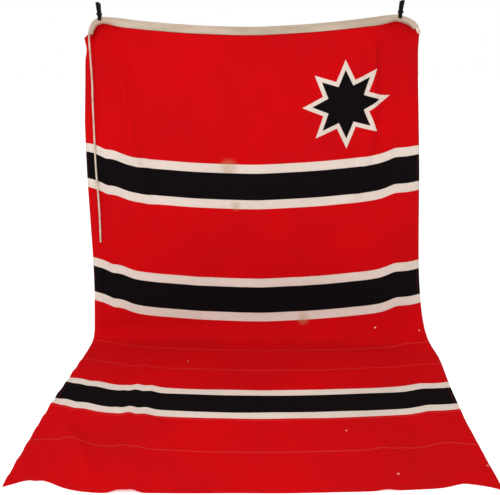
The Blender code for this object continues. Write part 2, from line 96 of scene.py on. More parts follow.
def stage_floor():
    bpy.ops.mesh.primitive_plane_add(size=FLOOR_SIZE, location=(0.0, 0.0, -FLOOR_BELOW))
    floor = bpy.context.object
    floor.name = "studio_floor"
    paint = bpy.data.materials.new("studio_floor")
    paint.use_nodes = True
    shader = paint.node_tree.nodes["Principled BSDF"]
    shader.inputs["Base Color"].default_value = FLOOR_COLOUR
    shader.inputs["Roughness"].default_value = FLOOR_ROUGHNESS
    shader.inputs["Emission Color"].default_value = PURE_WHITE
    shader.inputs["Emission Strength"].default_value = FLOOR_GLOW
    floor.data.materials.append(paint)


def surround():
    world = bpy.data.worlds.new("surround")
    bpy.context.scene.world = world
    world.use_nodes = True
    nodes, links = world.node_tree.nodes, world.node_tree.links
    direction = nodes.new("ShaderNodeTexCoord")
    parts = nodes.new("ShaderNodeSeparateXYZ")
    level = nodes.new("ShaderNodeMapRange")
    level.inputs["From Min"].default_value, level.inputs["From Max"].default_value = SURROUND_TURNS
    level.inputs["To Min"].default_value = SURROUND_LOW
    level.inputs["To Max"].default_value = SURROUND_HIGH
    links.new(direction.outputs["Generated"], parts.inputs[0])
    links.new(parts.outputs["Z"], level.inputs["Value"])
    links.new(level.outputs["Result"], nodes["Background"].inputs["Strength"])
    nodes["Background"].inputs["Color"].default_value = PURE_WHITE


def soft_light(name, place, aim, size, power):
    data = bpy.data.lights.new(name, "AREA")
    data.shape = "RECTANGLE"
    data.size, data.size_y = size
    data.energy = power
    light = bpy.data.objects.new(name, data)
    light.location = place
    light.rotation_euler = (Vector(aim) - Vector(place)).to_track_quat("-Z", "Y").to_euler()
    bpy.context.scene.collection.objects.link(light)
    return light


stage_floor()
surround()
soft_light("key_light", KEY_PLACE, KEY_AIM, KEY_SIZE, KEY_POWER)
soft_light("top_light", TOP_PLACE, TOP_AIM, TOP_SIZE, TOP_POWER).data.spread = TOP_SPREAD
bpy.context.scene.view_settings.view_transform = "Standard"
print("studio ready")

# %% [markdown]
# Every finish here is a node recipe. A small helper class keeps the recipes short: it adds a
# node, joins a socket or a plain number to it, and hands back the socket to use next.


# %% Helper for finishes
class Finish:
    """One material, with short words for the nodes that this flag needs."""

    def __init__(self, name, roughness, metallic=0.0, sheen=0.0, gloss=0.5):
        self.material = bpy.data.materials.new(name)
        self.material.use_nodes = True
        self.tree = self.material.node_tree
        self.shader = self.tree.nodes["Principled BSDF"]
        self.shader.inputs["Roughness"].default_value = roughness
        self.shader.inputs["Metallic"].default_value = metallic
        self.shader.inputs["Sheen Weight"].default_value = sheen
        self.shader.inputs["Specular IOR Level"].default_value = gloss

    def give(self, socket, value):
        if isinstance(value, bpy.types.NodeSocket):
            self.tree.links.new(value, socket)
        else:
            socket.default_value = value

    def sum(self, operation, *values, clamp=False):
        node = self.tree.nodes.new("ShaderNodeMath")
        node.operation = operation
        node.use_clamp = clamp
        for socket, value in zip(node.inputs, values):
            self.give(socket, value)
        return node.outputs[0]

    def step(self, value, low, high):
        """0 below low, 1 above high, and smooth between."""
        node = self.tree.nodes.new("ShaderNodeMapRange")
        node.interpolation_type = "SMOOTHSTEP"
        self.give(node.inputs["Value"], value)
        node.inputs["From Min"].default_value = low
        node.inputs["From Max"].default_value = high
        return node.outputs["Result"]

    def below(self, value, edge, soft):
        """1 where the value is under an edge, 0 above it, over a soft width."""
        return self.sum("SUBTRACT", 1.0, self.step(value, edge - soft, edge + soft))

    def mix(self, share, low, high):
        node = self.tree.nodes.new("ShaderNodeMix")
        node.data_type = "RGBA"
        self.give(node.inputs[0], share)
        self.give(node.inputs[6], low)
        self.give(node.inputs[7], high)
        return node.outputs[2]

    def noise(self, where, scale, detail=2.0, stretch=(1.0, 1.0, 1.0)):
        move = self.tree.nodes.new("ShaderNodeMapping")
        move.inputs["Scale"].default_value = stretch
        self.give(move.inputs["Vector"], where)
        node = self.tree.nodes.new("ShaderNodeTexNoise")
        node.inputs["Scale"].default_value = scale
        node.inputs["Detail"].default_value = detail
        self.give(node.inputs["Vector"], move.outputs[0])
        return node.outputs[0]

    def places(self, uv_map):
        """The flat cloth's own places in metres: the vector, its u and its s."""
        node = self.tree.nodes.new("ShaderNodeUVMap")
        node.uv_map = uv_map
        parts = self.tree.nodes.new("ShaderNodeSeparateXYZ")
        self.give(parts.inputs[0], node.outputs[0])
        return node.outputs[0], parts.outputs["X"], parts.outputs["Y"]

    def object_places(self):
        return self.tree.nodes.new("ShaderNodeTexCoord").outputs["Object"]

    def weave(self, across, along, pitch):
        """Threads over and under: the product of two waves, one for each way of the cloth."""
        turn = 2.0 * math.pi / pitch
        warp = self.sum("SINE", self.sum("MULTIPLY", across, turn))
        weft = self.sum("SINE", self.sum("MULTIPLY", along, turn))
        return self.sum("MULTIPLY", warp, weft)

    def bump(self, height, strength, depth):
        node = self.tree.nodes.new("ShaderNodeBump")
        node.inputs["Strength"].default_value = strength
        node.inputs["Distance"].default_value = depth
        self.give(node.inputs["Height"], height)
        self.give(self.shader.inputs["Normal"], node.outputs[0])

    def colour(self, value):
        self.give(self.shader.inputs["Base Color"], value)
        return self.material


FLAT = "flat_cloth"
print("finishes will read the UV map", FLAT)

# %% [markdown]
# The cloth's shape is worked out and not painted. Places on it are (u, s): u runs across from the
# middle line, s runs down from the heading's top edge. These are the flag's own sizes, the same
# as in the construction: the line that the heading hangs in, the lean, the bend at the floor,
# and the long soft folds.

# %% Sizes of the hanging cloth
HALF_WIDTH = 0.750
LONGEST = 2.480
CLOTH = 0.002
ROPE = 0.008
CANVAS = 0.0012
HEADING_HEIGHT = 0.036
HEADING_LEFT = -0.731
TUNNEL_RADIUS = ROPE / 2 + 0.0006 + CANVAS / 2
TUNNEL_CENTRE = TUNNEL_RADIUS + CANVAS / 2
FLAT_FROM = 0.014
CLOTH_TOP = 0.0132
CANVAS_CLEARANCE = 0.0010
HEM_SPREAD = 0.0007
HEM_ROWS = (0.036, 0.0325, 0.029, 0.0257, 0.0225, 0.0207, 0.019, 0.0175, 0.016, 0.015)
SLEEVE_TURN = math.radians(128.0)

HEADING_LINE = (
    (-0.750, -0.7058, 0.652, 1.3398),
    (-0.731, -0.7030, 0.652, 1.3586),
    (-0.706, -0.6980, 0.652, 1.3826),
    (-0.688, -0.6900, 0.652, 1.4000),
    (-0.671, -0.6793, 0.652, 1.4147),
    (-0.654, -0.6635, 0.652, 1.4236),
    (-0.632, -0.6400, 0.652, 1.4303),
    (-0.600, -0.6080, 0.652, 1.4290),
    (-0.450, -0.4580, 0.652, 1.4122),
    (-0.200, -0.2080, 0.652, 1.3945),
    (0.000, -0.0090, 0.652, 1.3888),
    (0.200, 0.1910, 0.652, 1.3970),
    (0.400, 0.3900, 0.652, 1.4128),
    (0.550, 0.5400, 0.652, 1.4308),
    (0.613, 0.6030, 0.652, 1.4388),
    (0.639, 0.6290, 0.652, 1.4398),
    (0.657, 0.6476, 0.652, 1.4370),
    (0.676, 0.6657, 0.652, 1.4325),
    (0.701, 0.6895, 0.652, 1.4240),
    (0.723, 0.7085, 0.652, 1.4122),
    (0.750, 0.7265, 0.652, 1.3930),
)

LEAN = math.radians(4.1)
BEND_LENGTH = ((-0.75, 0.12), (-0.30, 0.17), (0.30, 0.22), (0.75, 0.30))
TILT = ((-0.750, 158.0), (-0.731, 145.0), (-0.706, 122.0), (-0.688, 104.0), (-0.671, 90.0),
        (-0.654, 86.0), (-0.640, 86.0), (-0.620, 80.0), (-0.603, 70.0), (-0.585, 55.0),
        (-0.555, 32.0), (-0.480, 0.0), (0.480, 0.0), (0.560, 28.0), (0.600, 55.0), (0.620, 72.0),
        (0.641, 84.0), (0.655, 86.0), (0.701, 88.0), (0.750, 92.0))
TILT_ROWS = (0.0113, 0.0253, 0.040, 0.064)
TILT_MADE_UP = 0.70
SQUARE_ROWS = (0.026, 0.056)
WIDTH_BACK = 0.066
CORNER_IN = ((0.040, 0.017), (0.105, 0.026), (0.150, 0.017), (0.250, 0.010), (0.420, 0.0))
CORNER_REACH = (-0.60, -0.75)
HEM_LINE = ((-0.750, 2.434), (-0.640, 2.466), (-0.500, 2.480), (-0.250, 2.462), (0.000, 2.452),
            (0.500, 2.457), (0.650, 2.462), (0.750, 2.457))
WIDTH_SHARE = ((-1.40, 0.996), (-0.90, 0.992), (-0.46, 0.988), (-0.16, 1.003), (0.0, 1.012),
               (0.30, 1.004), (1.10, 1.003))
DRIFT = ((-1.40, -0.005), (-0.90, 0.010), (-0.46, 0.0245), (-0.16, 0.040), (0.0, 0.047),
         (0.30, 0.026), (0.55, 0.010), (0.82, 0.005), (1.10, 0.002))

HANGING_FOLDS = (
    (0.013, 0.017, ((0.05, -0.625), (0.16, -0.604), (0.38, -0.553), (0.56, -0.530), (0.78, -0.480),
                    (0.92, -0.430))),
    (-0.008, 0.016, ((0.10, -0.570), (0.38, -0.515), (0.56, -0.492), (0.80, -0.435))),
    (0.004, 0.016, ((0.05, -0.372), (0.50, -0.378))),
    (0.004, 0.014, ((0.05, -0.480), (0.34, -0.470))),
    (0.011, 0.016, ((0.05, 0.545), (0.40, 0.540), (0.60, 0.505), (0.85, 0.440))),
    (-0.007, 0.013, ((0.05, 0.578), (0.45, 0.574), (0.66, 0.540))),
    (0.007, 0.013, ((0.05, 0.625), (0.46, 0.618), (0.70, 0.600))),
    (0.005, 0.015, ((0.06, 0.485), (0.44, 0.478))),
)
FLOOR_FOLDS = (
    (0.013, 0.020, ((0.60, -0.665), (0.70, -0.625), (0.80, -0.570), (0.97, -0.480))),
    (0.010, 0.017, ((0.06, -0.475), (0.30, -0.462), (0.50, -0.452), (0.80, -0.425),
                    (1.10, -0.385))),
    (0.008, 0.020, ((0.20, -0.420), (0.50, -0.395), (0.90, -0.372), (1.10, -0.360))),
    (0.006, 0.016, ((0.56, -0.345), (0.66, -0.320), (0.78, -0.330))),
    (0.006, 0.018, ((0.62, 0.440), (1.10, 0.385))),
)
FOLD_END = 0.10
FLOOR_END = 1.0
FOLDS_FROM = (HEADING_HEIGHT, HEADING_HEIGHT + 0.10)
FOLDS_FADE = (-0.30, -0.02)
EDGE_TURN = ((-0.750, -0.022), (-0.716, -0.006), (-0.680, 0.0), (0.700, 0.0), (0.725, -0.004),
             (0.750, -0.014))
FINE_STEP = 0.001
SIDE_STEP = 0.002
SLOPE_STEP = 0.004
TURN_STEPS = 400
print("cut size", 2 * HALF_WIDTH, "by about", LONGEST)

# %% [markdown]
# Two small curves do most of the work: one that eases from 0 to 1, and one that runs smoothly
# through listed knots and never swings past them, so no fold grows a false ripple.


# %% Smooth curves
def ease(low, high, at):
    t = np.clip((at - low) / (high - low), 0.0, 1.0)
    return t * t * (3.0 - 2.0 * t)


def smooth_value(knots, at):
    place, value = np.array(knots, dtype=float).T
    at = np.clip(np.asarray(at, dtype=float), place[0], place[-1])
    step = np.diff(place)
    slope = np.diff(value) / step
    same_way = slope[:-1] * slope[1:] > 0.0
    total = np.where(same_way, slope[:-1] + slope[1:], 1.0)
    middle = np.where(same_way, 2.0 * slope[:-1] * slope[1:] / total, 0.0)
    tangent = np.concatenate(([slope[0]], middle, [slope[-1]]))
    left = np.clip(np.searchsorted(place, at, side="right") - 1, 0, len(step) - 1)
    t = (at - place[left]) / step[left]
    rise = value[left + 1] - value[left]
    start = t * (1.0 - t) ** 2 * tangent[left] * step[left]
    end = -t * t * (1.0 - t) * tangent[left + 1] * step[left]
    return value[left] + rise * t * t * (3.0 - 2.0 * t) + start + end


print("ease half way:", float(ease(0.0, 1.0, 0.5)))

# %% [markdown]
# One lengthwise line of cloth leaves the heading square to it, tilts back below each clip, which
# grips only the rope, hangs with a slight lean, and turns over on to the floor. Cloth hardly
# stretches, so the line is walked in steps of a millimetre and keeps its cut length.


# %% How the cloth hangs
def heading_point(u):
    knots = np.array(HEADING_LINE)
    return np.array([smooth_value(knots[:, (0, axis)], u) for axis in (1, 2, 3)])


def hang(u):
    top = heading_point(u)
    along = heading_point(u + SLOPE_STEP) - heading_point(u - SLOPE_STEP)
    along /= np.linalg.norm(along)
    bend = smooth_value(BEND_LENGTH, u)
    s = np.arange(0.0, LONGEST + FINE_STEP / 2, FINE_STEP)
    middle = s[:-1] + FINE_STEP / 2
    starts, full, goes, gone = TILT_ROWS
    most = math.radians(smooth_value(TILT, u))
    tilt = most * ease(starts, full, middle) * (1.0 - ease(goes, gone, middle))
    square_to_heading = 1.0 - ease(*SQUARE_ROWS, middle)

    def directions(bend_from, tilt=tilt):
        angle = LEAN - tilt + (math.pi / 2 - LEAN) * ease(bend_from, bend_from + bend, middle)
        down = np.stack([np.zeros_like(angle), -np.sin(angle), -np.cos(angle)], axis=1)
        slide = (down @ along) * square_to_heading
        down -= slide[:, None] * along[None, :]
        return down / np.linalg.norm(down, axis=1)[:, None]

    never = 2 * LONGEST
    fall = np.maximum.accumulate(-np.cumsum(directions(never)[:, 2])) * FINE_STEP
    turn = ease(0.0, 1.0, np.linspace(0.0, 1.0, TURN_STEPS))
    bend_fall = bend * np.mean(np.cos(LEAN + (math.pi / 2 - LEAN) * turn))
    bend_from = float(np.interp(top[2] - bend_fall, fall, middle + FINE_STEP / 2))
    point = np.vstack([top, top + np.cumsum(directions(bend_from), axis=0) * FINE_STEP])
    plain_depth = top[1] + np.cumsum(directions(bend_from, 0.0)[:, 1]) * FINE_STEP
    point[1:, 1] += (plain_depth - point[1:, 1]) * ease(gone, TILT_MADE_UP, s[1:])
    floor = s - bend_from - bend
    point[floor >= 0.0, 2] = 0.0
    wide = u * smooth_value(WIDTH_SHARE, floor) + smooth_value(DRIFT, floor)
    wide += smooth_value(CORNER_IN, s) * ease(*CORNER_REACH, u)
    point[:, 0] += (wide - point[:, 0]) * ease(HEADING_HEIGHT, WIDTH_BACK, s)
    return s, point, floor, bend_from


print("middle line reaches y =", round(float(hang(0.0)[1][-1, 1]), 3))

# %% [markdown]
# Folds are soft ridges and troughs laid over the plain hang, each with its own crest line. The
# side edges curl back a little. On top of the construction's folds come the small ones that a
# plain solid leaves out: slight waves down the hanging part, a ripple along the floor part's
# left edge, a lift in the front hem, and the faint cross ripples of cloth that slid forward.

# %% Folds
SMALL_FOLDS = (
    (0.0030, 0.009, ((0.06, -0.590), (0.20, -0.565), (0.42, -0.535))),
    (0.0024, 0.010, ((0.05, -0.430), (0.45, -0.425))),
    (-0.0022, 0.010, ((0.06, -0.452), (0.40, -0.448))),
    (0.0020, 0.012, ((0.05, -0.330), (0.60, -0.340))),
    (-0.0024, 0.012, ((0.05, 0.510), (0.50, 0.508))),
    (0.0022, 0.010, ((0.05, 0.655), (0.50, 0.650))),
    (-0.0020, 0.011, ((0.05, 0.420), (0.55, 0.415))),
)
SMALL_FLOOR_FOLDS = (
    (0.0045, 0.014, ((0.66, -0.600), (0.80, -0.540), (0.92, -0.470))),
    (0.0035, 0.012, ((0.30, -0.505), (0.60, -0.500))),
    (0.0030, 0.013, ((0.12, -0.560), (0.34, -0.590))),
    (0.0030, 0.012, ((0.74, -0.690), (0.96, -0.610))),
    (0.0025, 0.012, ((0.50, 0.520), (0.90, 0.470))),
)
WAVES = ((0.0011, 23.0, 1.1, 0.3), (0.0008, 41.0, -1.7, 2.1), (0.0005, 67.0, 2.4, 4.0))
CROSS_WAVES = ((0.0005, 31.0, 11.0, 0.8), (0.0004, 53.0, -19.0, 2.6), (0.0003, 88.0, 27.0, 5.1))
EDGE_RIPPLE = (0.0045, 74.0, 0.06)
HEM_LIFT = (0.006, -0.352, 0.020, 0.05)
CROSS_LIFT = 0.0008
RIPPLES_FROM = (0.02, 0.20)


def fold_height(folds, u, along):
    total = np.zeros_like(along)
    for height, half_width, crest in folds:
        start, stop = crest[0][0], crest[-1][0]
        inside = ease(start, start + FOLD_END, along)
        if stop < FLOOR_END:
            inside = inside * (1.0 - ease(stop - FOLD_END, stop, along))
        aside = u - smooth_value(crest, along)
        total += height * inside * np.exp(-((aside / half_width) ** 2) / 2.0)
    return total


def stand_out(u, s, floor):
    hanging = 1.0 - ease(*FOLDS_FADE, floor)
    below_heading = ease(*FOLDS_FROM, s)
    turned = smooth_value(EDGE_TURN, u) * below_heading * hanging
    folds = fold_height(HANGING_FOLDS, u, s) * below_heading * hanging
    ridges = fold_height(FLOOR_FOLDS, u, floor)
    return turned + folds + np.maximum(ridges, 0.0)


def small_relief(u, s, floor):
    """The folds and ripples that are finer than the construction's."""
    hanging = (1.0 - ease(*FOLDS_FADE, floor)) * ease(*FOLDS_FROM, s)
    on_floor = ease(*RIPPLES_FROM, floor)
    down = sum(height * np.sin(turn * u + lean * s + phase)
               for height, turn, lean, phase in WAVES)
    cross = sum(height * np.sin(turn * s + lean * u + phase)
                for height, turn, lean, phase in CROSS_WAVES)
    height, turn, reach = EDGE_RIPPLE
    edge = height * (1.0 + np.sin(turn * s)) / 2 * ease(-HALF_WIDTH + reach, -HALF_WIDTH, u)
    lift, lift_u, lift_width, lift_reach = HEM_LIFT
    from_hem = smooth_value(HEM_LINE, u) - s
    wave = lift * np.exp(-(((u - lift_u) / lift_width) ** 2)) * ease(lift_reach, 0.0, from_hem)
    folds = fold_height(SMALL_FOLDS, u, s) * hanging + fold_height(SMALL_FLOOR_FOLDS, u, floor)
    ripples = np.maximum(cross + CROSS_LIFT, 0.0) * on_floor
    return folds + down * hanging + ripples + (edge + wave) * on_floor


def folded_line(u, finer=True):
    """s, points of the back face, front normals, floor distance and bend start, for one u."""
    s, line, floor, bend_from = hang(u)
    left = hang(max(u - SIDE_STEP, -HALF_WIDTH))[1]
    right = hang(min(u + SIDE_STEP, HALF_WIDTH))[1]
    normal = np.cross(np.gradient(line, axis=0), right - left)
    normal /= np.linalg.norm(normal, axis=1)[:, None]
    normal[floor >= 0.0] = (0.0, 0.0, 1.0)
    out = stand_out(u, s, floor)
    if finer:
        out = out + small_relief(u, s, floor)
    return s, line + normal * out[:, None], normal, floor, bend_from


def read_at(wanted, s, values):
    return np.stack([np.interp(wanted, s, values[:, axis]) for axis in range(3)], axis=1)


print("folds:", len(HANGING_FOLDS) + len(SMALL_FOLDS), "hanging,",
      len(FLOOR_FOLDS) + len(SMALL_FLOOR_FOLDS), "on the floor")

# %% [markdown]
# The rope's free end comes out of the heading's left mouth, turns down and hangs in front of the
# cloth to a bare end. It is one rope with the one in the heading: three strands laid to the
# right. The tube's cross-section has three rounded lobes that turn once in every lay length,
# which shows the strands from all sides at the cost of one mesh.

# %% Rope
TAIL_ROUTE = (
    (-0.6982, 0.6488, 1.3575),
    (-0.6993, 0.6488, 1.3516),
    (-0.7001, 0.6487, 1.3450),
    (-0.7004, 0.6485, 1.3350),
    (-0.7000, 0.6477, 1.3180),
    (-0.6990, 0.6468, 1.3000),
    (-0.6970, 0.6450, 1.2470),
    (-0.6940, 0.6415, 1.1500),
    (-0.6935, 0.6350, 1.1000),
    (-0.6925, 0.6278, 1.0500),
    (-0.6890, 0.6135, 0.9500),
    (-0.6865, 0.6007, 0.8500),
    (-0.6825, 0.5908, 0.7500),
    (-0.6765, 0.5830, 0.6500),
    (-0.6730, 0.5757, 0.5500),
    (-0.6720, 0.5685, 0.4450),
)
ROUTE_FINE = 24
LAY = 0.026
STRANDS = 3
ROPE_SIDES = 24
ROPE_STEP = 0.0021
STRAND_DEPTH = 0.24
GROOVE_POWER = 3
ROPE_NEVER_ALONG = (0.0, 1.0, 0.2)


def smooth_route(route, step):
    """Points at even steps on one smooth curve through the route's own points."""
    route = np.array(route)
    padded = np.vstack([2 * route[0] - route[1], route, 2 * route[-1] - route[-2]])
    fine = []
    for i in range(len(route) - 1):
        a, b, c, d = padded[i:i + 4]
        t = np.linspace(0.0, 1.0, ROUTE_FINE, endpoint=False)[:, None]
        fine.append(0.5 * (2 * b + (c - a) * t + (2 * a - 5 * b + 4 * c - d) * t ** 2
                           + (3 * b - a - 3 * c + d) * t ** 3))
    fine = np.vstack(fine + [route[-1:]])
    reach = np.concatenate(([0.0], np.cumsum(np.linalg.norm(np.diff(fine, axis=0), axis=1))))
    even = np.linspace(0.0, reach[-1], int(reach[-1] / step) + 1)
    return np.stack([np.interp(even, reach, fine[:, axis]) for axis in range(3)], axis=1)


def carried_frames(path):
    """Two directions square to the path at each point, carried along it without twist."""
    ahead = np.gradient(path, axis=0)
    ahead /= np.linalg.norm(ahead, axis=1)[:, None]
    first = np.cross(ahead[0], ROPE_NEVER_ALONG)
    first /= np.linalg.norm(first)
    across = [first]
    for forward in ahead[1:]:
        kept = across[-1] - forward * (across[-1] @ forward)
        across.append(kept / np.linalg.norm(kept))
    across = np.array(across)
    return across, np.cross(ahead, across)


def grid_faces(rows, sides, closed, caps, base=0):
    """The faces between rows of vertices that are numbered from base, and over the two ends."""
    wrap = sides if closed else sides - 1
    faces = []
    for row in range(rows - 1):
        low, high = base + row * sides, base + (row + 1) * sides
        for side in range(wrap):
            beside = (side + 1) % sides
            faces.append((low + side, low + beside, high + beside, high + side))
    if caps:
        faces.append(tuple(reversed(range(base, base + sides))))
        faces.append(tuple(range(base + (rows - 1) * sides, base + rows * sides)))
    return faces


def mesh_object(name, vertices, faces):
    mesh = bpy.data.meshes.new(name)
    mesh.from_pydata(vertices, [], faces)
    mesh.polygons.foreach_set("use_smooth", [True] * len(mesh.polygons))
    made = bpy.data.objects.new(name, mesh)
    bpy.context.scene.collection.objects.link(made)
    return made


def grid_mesh(name, rings, closed, caps=False):
    """A mesh through rows of points; each ring may close on itself, and the ends may be capped."""
    faces = grid_faces(*rings.shape[:2], closed, caps)
    return mesh_object(name, rings.reshape(-1, 3).tolist(), faces)


def lay_places(made, places):
    """Writes each vertex's flat place, in rows as the mesh was made, into its UV map."""
    layer = made.data.uv_layers.new(name=FLAT)
    corner = np.array([loop.vertex_index for loop in made.data.loops])
    layer.data.foreach_set("uv", places.reshape(-1, 2)[corner].ravel())


def outward(made):
    """Turns the faces of a closed mesh to point out."""
    shell = bmesh.new()
    shell.from_mesh(made.data)
    bmesh.ops.recalc_face_normals(shell, faces=shell.faces)
    shell.to_mesh(made.data)
    shell.free()
    return made


def laid_rope(name, path, lay_start=0.0):
    across, upward = carried_frames(path)
    reach = np.concatenate(([0.0], np.cumsum(np.linalg.norm(np.diff(path, axis=0), axis=1))))
    turn = np.linspace(0.0, 2.0 * math.pi, ROPE_SIDES, endpoint=False)
    lobe = turn[None, :] - 2.0 * math.pi * (reach[:, None] + lay_start) / LAY
    groove = np.abs(np.sin(STRANDS * lobe / 2.0)) ** GROOVE_POWER
    radius = ROPE / 2 * (1.0 - STRAND_DEPTH * groove)
    rings = (path[:, None, :] + across[:, None, :] * (radius * np.cos(turn))[:, :, None]
             + upward[:, None, :] * (radius * np.sin(turn))[:, :, None])
    made = outward(grid_mesh(name, rings, closed=True, caps=True))
    around = np.arange(ROPE_SIDES) / ROPE_SIDES
    lay_places(made, np.stack(np.broadcast_arrays(around[None, :], reach[:, None]), axis=2))
    return made


tail_path = smooth_route(TAIL_ROUTE, ROPE_STEP)
rope_tail = laid_rope("rope_tail_laid", tail_path)
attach(rope_tail, "root")
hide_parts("rope_tail")
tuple(TAIL_ROUTE[0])
print("rope tail:", len(rope_tail.data.polygons), "faces")

# %% [markdown]
# Inside the heading the same rope runs from mouth to mouth, and at the right it stands out as a
# short flat loop that turns back under itself to just short of the mouth.

# %% Rope in the heading
LOOP_LENGTH = 0.031
LOOP_TURN = ROPE / 2 + 0.0004
LOOP_DROOP = math.radians(12.0)
RUN_OUT = (0.008, 0.015)
RUN_BACK = (0.015, 0.008)
LOOP_STEPS = 8
HOIST_POINTS = 44
MOUTH_LEAD = 0.022
HOIST_LAY_START = 0.011


def rope_axis(u):
    s, line, normal, _, _ = folded_line(u, finer=False)
    centre = np.array([TUNNEL_CENTRE])
    return (read_at(centre, s, line) + read_at(centre, s, normal) * CLOTH / 2)[0]


def hoist_route():
    inside = [rope_axis(u) for u in np.linspace(HEADING_LEFT, HALF_WIDTH, HOIST_POINTS)]
    mouth = inside[-1]
    out = mouth - rope_axis(HALF_WIDTH - MOUTH_LEAD)
    out /= np.linalg.norm(out)
    turn = np.array(((math.cos(LOOP_DROOP), 0.0, math.sin(LOOP_DROOP)), (0.0, 1.0, 0.0),
                     (-math.sin(LOOP_DROOP), 0.0, math.cos(LOOP_DROOP))))
    out = turn @ out
    under = np.cross(out, (0.0, 1.0, 0.0))
    under /= np.linalg.norm(under)
    if under[2] > 0.0:
        under = -under
    centre = mouth + out * (LOOP_LENGTH - LOOP_TURN - ROPE / 2) + under * LOOP_TURN
    bend = np.linspace(0.0, math.pi, LOOP_STEPS + 1)
    loop = [centre - under * LOOP_TURN * math.cos(a) + out * LOOP_TURN * math.sin(a) for a in bend]
    run_out = [mouth + out * distance for distance in RUN_OUT]
    back = mouth + under * 2 * LOOP_TURN
    run_back = [back + out * distance for distance in RUN_BACK]
    return inside + run_out + loop + run_back


hoist_path = smooth_route(hoist_route(), ROPE_STEP)
hoist_rope = laid_rope("hoist_rope_laid", hoist_path, HOIST_LAY_START)
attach(hoist_rope, "root")
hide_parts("hoist_rope")
print("hoist rope:", len(hoist_rope.data.polygons), "faces")

# %% [markdown]
# Old cotton rope is cream, a little grey in its grooves, with fine fibres that run along each
# strand. The fibres are noise stretched along the lay; the grooves are real shape.

# %% Rope finish
ROPE_LIGHT = (0.62, 0.53, 0.43, 1.0)
ROPE_DARK = (0.40, 0.32, 0.24, 1.0)
FIBRES_A_STRAND = 4.0
FIBRE_TURN = 90.0


def rope_finish():
    finish = Finish("laid_rope", roughness=0.9, sheen=0.05, gloss=0.1)
    _, around, along = finish.places(FLAT)
    where = finish.object_places()
    twist = finish.sum("ADD", finish.sum("MULTIPLY", around, STRANDS * FIBRES_A_STRAND),
                       finish.sum("MULTIPLY", along, FIBRE_TURN))
    fibres = finish.sum("SINE", finish.sum("MULTIPLY", twist, 2.0 * math.pi))
    patches = finish.noise(where, 34.0, 3.0)
    fuzz = finish.noise(where, 900.0, 2.0)
    shade = finish.sum("ADD", finish.sum("MULTIPLY", patches, 0.8),
                       finish.sum("MULTIPLY", fuzz, 0.4))
    finish.bump(finish.sum("ADD", finish.sum("MULTIPLY", fibres, 0.4), fuzz), 0.5, 0.0004)
    return finish.colour(finish.mix(finish.step(shade, 0.35, 0.85), ROPE_DARK, ROPE_LIGHT))


rope_paint = rope_finish()
for rope in (rope_tail, hoist_rope):
    rope.data.materials.append(rope_paint)
print("rope finish on", rope_tail.name, "and", hoist_rope.name)

# %% [markdown]
# The flag is one sheet of thin bunting. Its grid is fine where folds run and coarser between
# them, and each vertex keeps its flat place as a UV, in metres, so that the print, the weave and
# the stains lie on the cloth as they would on the cutting table. A Solidify modifier gives it
# its thickness, a little more at the hems, which are folded over.

# %% Bunting sheet
COLUMNS = ((-0.750, -0.731, 6), (-0.731, -0.610, 24), (-0.610, -0.480, 18), (-0.480, -0.300, 18),
           (-0.300, 0.360, 40), (0.360, 0.620, 32), (0.620, 0.750, 20))
TOP_ROWS = (CLOTH_TOP, 0.0145, 0.016, 0.0175, 0.019, 0.0207, 0.0225, 0.0257, 0.029, 0.0325, 0.036,
            0.039, 0.042, 0.0455, 0.049, 0.0525, 0.056, 0.060, 0.064, 0.072, 0.085)
HANGING_ROWS = 112
BEND_ROWS = 22
FLOOR_ROWS = 108
BUNTING = 0.0010
HEM_THICKNESS = 0.0018
HEM_WIDTH = 0.014
HEM_EDGE = 0.004
GATHER_KNOTS = (-0.750, -0.706, -0.671, -0.632, 0.639, 0.676, 0.723, 0.750)
GATHER_LEVEL = [(u, level) for u, _, _, level in HEADING_LINE if u in GATHER_KNOTS]
LEFT_CLIP_LEVEL, RIGHT_CLIP_LEVEL = GATHER_LEVEL[3][1], GATHER_LEVEL[4][1]
GATHER_ROWS = (0.05, 0.60, 2.05, 2.40)
CORNER_FROM = 0.632


def sheet_columns():
    parts = [np.linspace(low, high, steps, endpoint=False) for low, high, steps in COLUMNS]
    return np.append(np.concatenate(parts), HALF_WIDTH)


def gathered(u, s):
    """How far the print lies above its cut place, where cloth is gathered in a drooping corner."""
    if abs(u) <= CORNER_FROM:
        return 0.0
    clip_level = LEFT_CLIP_LEVEL if u < 0.0 else RIGHT_CLIP_LEVEL
    droop = np.maximum(clip_level - smooth_value(GATHER_LEVEL, u), 0.0)
    starts, full, goes, gone = GATHER_ROWS
    return droop * ease(starts, full, s) * (1.0 - ease(goes, gone, s))


def bunting_grid(across):
    points, places = [], []
    for u in across:
        s, line, _, floor, bend_from = folded_line(u)
        bend_to = float(np.interp(0.0, floor, s))
        rows = np.concatenate([
            TOP_ROWS,
            np.linspace(TOP_ROWS[-1], bend_from, HANGING_ROWS + 1)[1:],
            np.linspace(bend_from, bend_to, BEND_ROWS + 1)[1:],
            np.linspace(bend_to, smooth_value(HEM_LINE, u), FLOOR_ROWS + 1)[1:],
        ])
        points.append(read_at(rows, s, line))
        places.append(np.stack([np.full_like(rows, u), rows + gathered(u, rows)], axis=1))
    return np.array(points), np.array(places)


def hem_share(places):
    """1 on the folded hems, 0 on the single cloth."""
    u, s = places[..., 0], places[..., 1]
    side = ease(HALF_WIDTH - HEM_WIDTH - HEM_EDGE, HALF_WIDTH - HEM_WIDTH, np.abs(u))
    front = ease(HEM_WIDTH + HEM_EDGE, HEM_WIDTH, smooth_value(HEM_LINE, u) - s)
    return np.maximum(side, front)


def thicken(made, thickness, offset, thick_group=None, share=1.0, second_finish=0):
    shell = made.modifiers.new("thickness", "SOLIDIFY")
    shell.thickness = thickness
    shell.offset = offset
    shell.material_offset = second_finish
    if thick_group:
        shell.vertex_group = thick_group
        shell.thickness_vertex_group = share


